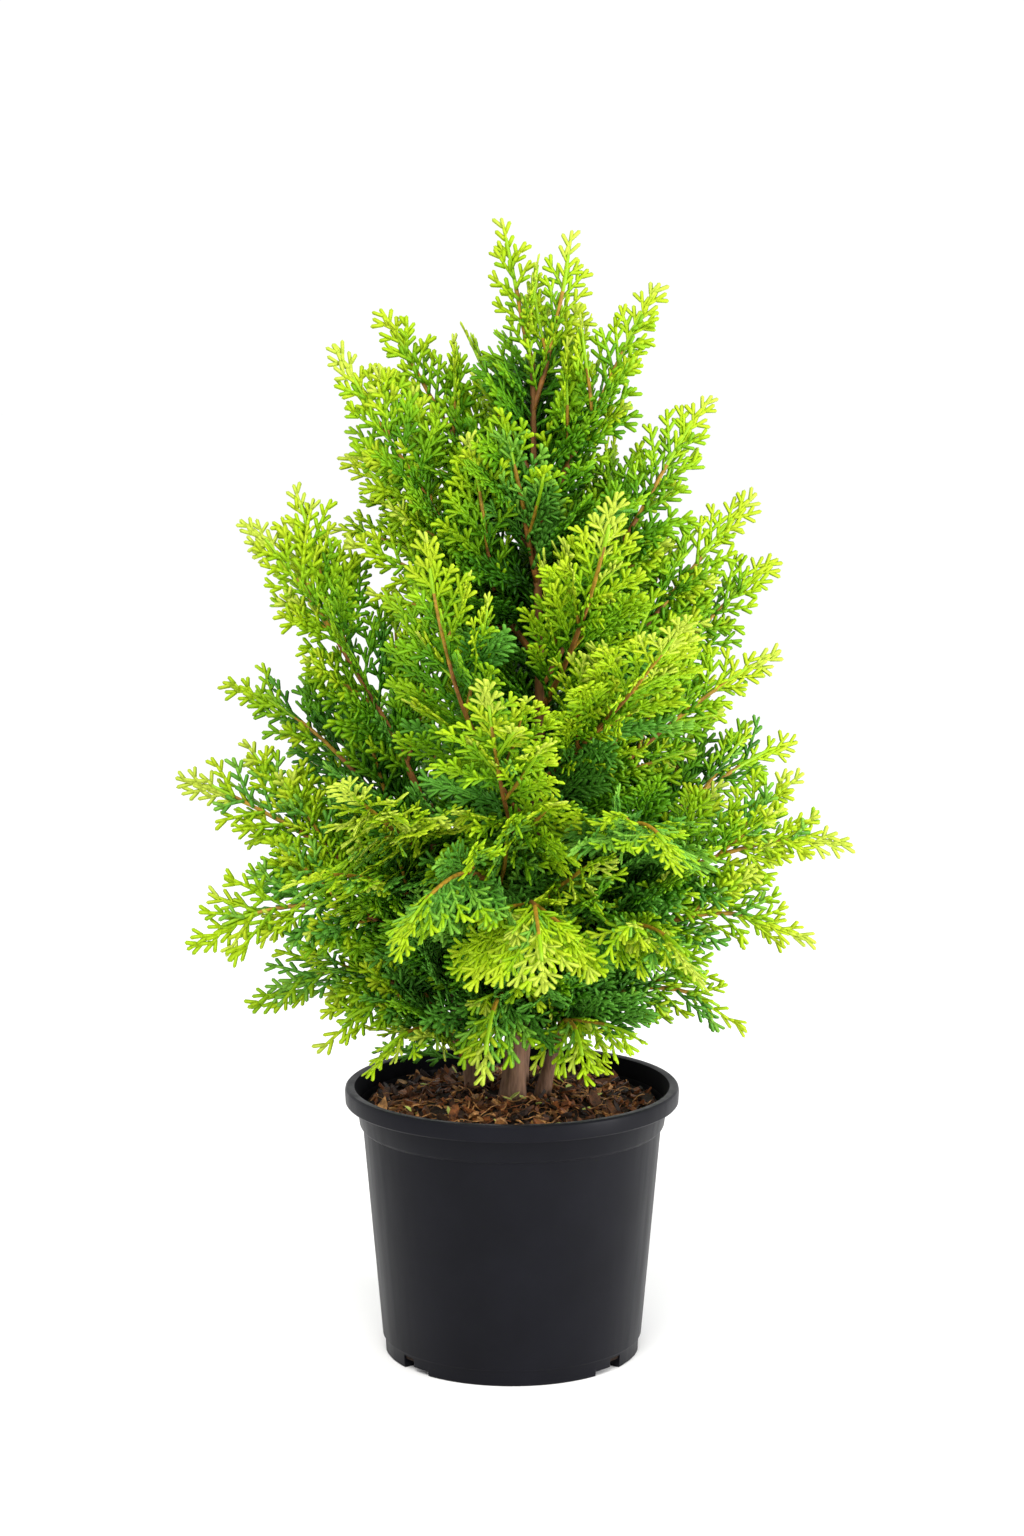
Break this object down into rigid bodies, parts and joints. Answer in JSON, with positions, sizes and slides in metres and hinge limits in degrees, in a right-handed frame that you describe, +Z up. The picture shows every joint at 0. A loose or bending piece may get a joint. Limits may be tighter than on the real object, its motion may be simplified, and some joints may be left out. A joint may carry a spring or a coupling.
{
  "type": "potted thuja",
  "caption": "Young bushy thuja with flat feathery evergreen sprays on slender upright stems, growing in a round black plastic nursery pot filled with bark mulch.",
  "frame": {"origin": "centre of the flat pad in the middle of the pot's underside, on the ground plane", "axes": "+Z up along the pot's axis, -Y to the plant's front, +X to its right as seen from the front"},
  "size_m": [0.3768, 0.3307, 0.6447],
  "materials": {
    "pot_plastic": "black injection-moulded plastic, satin",
    "compost": "moist dark brown compost under bark chips",
    "bark": "thin grey-brown fibrous bark, green-brown higher up",
    "twig_bark": "smooth red-brown twig bark",
    "foliage_lime": "waxy scale leaves, bright yellow-green",
    "foliage_green": "waxy scale leaves, mid green",
    "foliage_deep_green": "waxy scale leaves, deep green",
    "foliage_blue_green": "waxy scale leaves, blue-green",
    "foliage_yellow": "waxy scale leaves, young yellow shoots"
  },
  "bodies": {
    "root": {"pot": "pot_plastic", "soil": "compost", "trunk": "bark", "stem_right": "bark", "stem_left": "bark", "stem_back": "bark", "bough_left_1": "twig_bark", "bough_left_2": "twig_bark", "bough_left_3": "twig_bark", "bough_left_5": "twig_bark", "bough_left_6": "twig_bark", "bough_right_1": "twig_bark", "bough_right_2": "twig_bark", "bough_right_3": "twig_bark", "bough_right_7": "twig_bark", "bough_right_8": "twig_bark", "foliage_leader_left": "foliage_green", "foliage_leader_right": "foliage_green", "foliage_left_1": "foliage_green", "foliage_left_2": "foliage_lime", "foliage_left_3": "foliage_lime", "foliage_left_4": "foliage_deep_green", "foliage_left_5": "foliage_lime", "foliage_left_6": "foliage_lime", "foliage_left_7": "foliage_green", "foliage_left_8": "foliage_green", "foliage_left_9": "foliage_lime", "foliage_right_1": "foliage_green", "foliage_right_2": "foliage_green", "foliage_right_3": "foliage_lime", "foliage_right_4": "foliage_deep_green", "foliage_right_5": "foliage_lime", "foliage_right_6": "foliage_deep_green", "foliage_right_7": "foliage_lime", "foliage_right_8": "foliage_lime", "foliage_right_9": "foliage_green", "foliage_front_1": "foliage_blue_green", "foliage_front_2": "foliage_yellow", "foliage_front_3": "foliage_lime", "foliage_front_4": "foliage_yellow", "foliage_front_5": "foliage_lime", "foliage_front_6": "foliage_yellow", "foliage_front_7": "foliage_blue_green", "foliage_front_8": "foliage_blue_green", "foliage_front_9": "foliage_yellow", "foliage_front_10": "foliage_green", "foliage_front_11": "foliage_yellow", "foliage_front_12": "foliage_yellow", "foliage_front_13": "foliage_green", "foliage_back_1": "foliage_green", "foliage_back_2": "foliage_green", "foliage_back_11": "foliage_deep_green", "foliage_back_3": "foliage_green", "foliage_back_4": "foliage_lime", "foliage_back_5": "foliage_blue_green", "foliage_back_6": "foliage_lime", "foliage_back_7": "foliage_green", "foliage_back_8": "foliage_green", "foliage_back_9": "foliage_deep_green", "foliage_back_10": "foliage_lime"}
  },
  "joints": []
}
